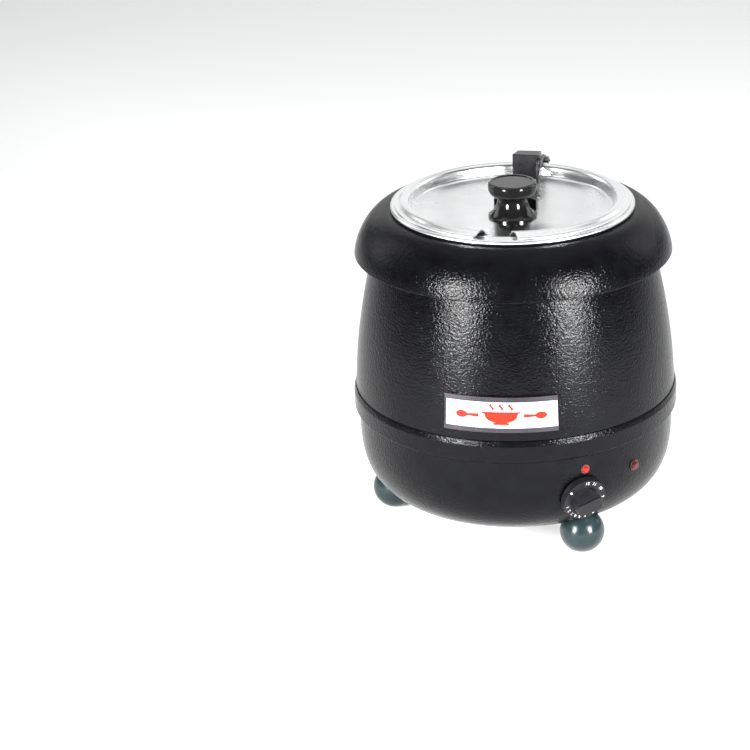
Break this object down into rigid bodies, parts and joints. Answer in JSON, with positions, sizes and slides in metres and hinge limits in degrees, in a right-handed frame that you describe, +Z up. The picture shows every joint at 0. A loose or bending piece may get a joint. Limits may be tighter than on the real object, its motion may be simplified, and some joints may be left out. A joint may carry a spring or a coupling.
{
  "type": "electric soup kettle",
  "caption": "Round electric soup kettle: bulged hammered housing on ball feet, wet well, lift-out steel pot, hinged notched lid, thermostat dial, lamps and a card holder.",
  "frame": {"origin": "on the counter under the kettle's vertical axis", "axes": "+Z up along the kettle's axis, -Y towards the front with the card holder, +X to its right"},
  "size_m": [0.3388, 0.3396, 0.3622],
  "materials": {
    "hammered_black": "hammered gloss",
    "satin_black": "satin",
    "polished_steel": "polished",
    "well_steel": "brushed",
    "hinge_black": "semi-gloss",
    "bare_steel": "satin",
    "zinc_steel": "zinc plated",
    "knob_phenolic": "high gloss",
    "foot_phenolic": "gloss",
    "dial_plastic": "satin, white numerals",
    "holder_plastic": "smoked gloss",
    "card_paper": "coated, red picture",
    "red_lens": "translucent red",
    "lamp_plastic": "satin",
    "seal_rubber": "matt",
    "heater_mica": "aluminised",
    "blade_brass": "tinned",
    "moulded_black": "moulded",
    "moulded_white": "moulded",
    "copper": "drawn",
    "dial_shaft_steel": "turned",
    "lead_sleeve": "braided sleeve"
  },
  "bodies": {
    "housing": {"collar": "hammered_black", "barrel": "hammered_black", "band": "hammered_black", "base_bowl": "hammered_black", "neck_ring": "satin_black", "water_well": "well_steel", "deck_screws": "zinc_steel", "deck_nuts": "zinc_steel", "cover_screws": "zinc_steel", "cover_nuts": "zinc_steel", "foot_screws": "zinc_steel", "heater_clamp": "zinc_steel", "heater_stud": "zinc_steel", "heater_nut": "zinc_steel", "terminal_bracket": "zinc_steel", "bulb_clips": "zinc_steel", "bottom_cover": "zinc_steel", "thermostat_nut": "zinc_steel", "foot_front_right": "foot_phenolic", "foot_left": "foot_phenolic", "foot_rear": "foot_phenolic", "label_holder": "holder_plastic", "power_lamp_lens": "red_lens", "heat_lamp_lens": "red_lens", "power_lamp_body": "lamp_plastic", "heat_lamp_body": "lamp_plastic", "well_seal": "seal_rubber", "foot_washers": "seal_rubber", "heater_plate": "heater_mica", "heater_terminals": "blade_brass", "earth_stud": "blade_brass", "earth_nut": "blade_brass", "thermostat": "moulded_black", "thermal_cutout": "moulded_black", "inlet_gland": "moulded_black", "gland_nut": "moulded_black", "terminal_block": "moulded_white", "capillary": "copper", "sensor_bulb": "copper", "heater_leads": "lead_sleeve"},
    "pot": {"pot": "polished_steel", "hinge_bracket": "bare_steel"},
    "lid": {"lid": "polished_steel", "lid_knob": "knob_phenolic", "knob_screw": "bare_steel", "knob_washer": "bare_steel", "hinge_leaf": "hinge_black", "hinge_stay": "hinge_black", "hinge_pin": "bare_steel", "hinge_pin_nut": "bare_steel", "hinge_pin_spacer": "bare_steel", "leaf_screws": "bare_steel", "stay_bolt": "bare_steel", "stay_nut": "bare_steel"},
    "dial": {"dial": "dial_plastic", "dial_shaft": "dial_shaft_steel"},
    "card": {"label_card": "card_paper"}
  },
  "joints": [
    {"name": "pot_lift", "type": "slide", "parent": "housing", "child": "pot", "axis": [0, 0, 1], "range_m": [0, 0.25]},
    {"name": "lid_hinge", "type": "hinge", "parent": "pot", "child": "lid", "pos_m": [0.00717, 0.13681, 0.342], "axis": [-0.9986, 0.0523, 0], "range_deg": [0, 100]},
    {"name": "dial_turn", "type": "hinge", "parent": "housing", "child": "dial", "pos_m": [0.07774, -0.14259, 0.0784], "axis": [0.471, -0.8639, -0.1784], "range_deg": [0, 303]},
    {"name": "card_slide", "type": "hinge", "parent": "housing", "child": "card", "pos_m": [0, 0, 0.1763], "axis": [0, 0, 1], "range_deg": [0, 42]}
  ]
}
